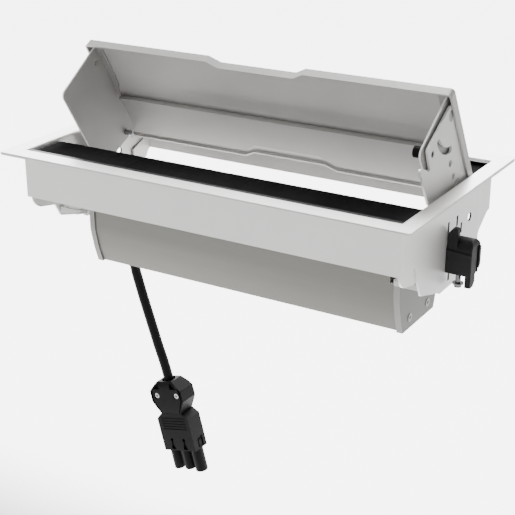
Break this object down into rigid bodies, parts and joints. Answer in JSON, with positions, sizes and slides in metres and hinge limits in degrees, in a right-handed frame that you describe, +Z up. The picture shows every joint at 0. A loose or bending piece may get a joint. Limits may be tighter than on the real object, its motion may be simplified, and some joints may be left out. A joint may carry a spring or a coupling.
{
  "type": "conference table socket unit",
  "caption": "Flip-up socket unit for a table cut-out: rim frame with brush strips, hinged lid with socket carrier, cable trough, clamps, and a lead with a 3-pole plug.",
  "frame": {"origin": "centre of the frame's opening, in the plane of the rim's underside, which is the table top", "axes": "+X along the unit to its right-hand end, +Y away from the user, towards the hinge side, +Z up out of the table"},
  "size_m": [0.3766, 0.199, 0.3907],
  "materials": {
    "frame_coat": "light silver-grey powder coat, fine texture",
    "lid_coat": "silver-grey powder coat",
    "plate_zinc": "zinc-plated steel sheet",
    "bright_zinc": "bright zinc-plated steel",
    "spring_steel": "spring steel",
    "chrome_pin": "polished",
    "channel": "anodised",
    "bristle": "black nylon bristles",
    "trough_alu": "natural anodised extrusion",
    "cap_coat": "grey powder coat",
    "claw_black": "glass-filled black nylon",
    "black_plastic": "black plastic, fine texture",
    "white_plastic": "white acetal",
    "cord_sheath": "black flexible sheath",
    "brass_contact": "plated brass"
  },
  "bodies": {
    "frame": {"table_frame": "frame_coat", "front_brush": "bristle", "rear_brush": "bristle", "front_brush_channel": "channel", "rear_brush_channel": "channel", "pivot_pin_left": "chrome_pin", "pivot_pin_right": "chrome_pin", "spring_washer_left": "spring_steel", "spring_washer_right": "spring_steel", "trough": "trough_alu", "trough_cap_left": "cap_coat", "trough_cap_right": "cap_coat", "trough_screws": "bright_zinc", "hanger_left": "plate_zinc", "hanger_right": "plate_zinc", "clamp_nut_left": "bright_zinc", "clamp_nut_right": "bright_zinc", "gland_body": "black_plastic", "gland_nut": "black_plastic", "supply_cord": "cord_sheath", "plug_body": "black_plastic", "plug_cover": "black_plastic", "plug_screws": "bright_zinc", "plug_contacts": "brass_contact"},
    "carrier": {"lid": "lid_coat", "carrier_bracket": "lid_coat", "side_plate_left": "plate_zinc", "side_plate_right": "plate_zinc", "plate_stud_left": "bright_zinc", "plate_stud_right": "bright_zinc", "stop_buffer": "black_plastic", "pivot_bush_left": "white_plastic", "pivot_bush_right": "white_plastic"},
    "claw_left": {"clamp_claw_left": "claw_black"},
    "claw_right": {"clamp_claw_right": "claw_black"},
    "screw_left": {"clamp_screw_left": "chrome_pin"},
    "screw_right": {"clamp_screw_right": "chrome_pin"}
  },
  "joints": [
    {"name": "carrier_flip", "type": "hinge", "parent": "frame", "child": "carrier", "pos_m": [0, 0.039, -0.0126], "axis": [1, 0, 0], "range_deg": [0, 58.4]},
    {"name": "claw_left_lift", "type": "slide", "parent": "frame", "child": "claw_left", "axis": [0, 0, 1], "range_m": [-0.005, 0.0075]},
    {"name": "screw_left_turn", "type": "hinge", "parent": "claw_left", "child": "screw_left", "pos_m": [-0.1749, 0.00385, -0.06], "axis": [0, 0, 1], "range_deg": [-2575, 3860]},
    {"name": "claw_right_lift", "type": "slide", "parent": "frame", "child": "claw_right", "axis": [0, 0, 1], "range_m": [-0.005, 0.0075]},
    {"name": "screw_right_turn", "type": "hinge", "parent": "claw_right", "child": "screw_right", "pos_m": [0.1749, 0.00385, -0.06], "axis": [0, 0, 1], "range_deg": [-2575, 3860]}
  ],
  "couplings": [
    {"joint": "screw_left_turn", "follows": "claw_left_lift", "rad_per_m": 8976},
    {"joint": "screw_right_turn", "follows": "claw_right_lift", "rad_per_m": 8976}
  ]
}
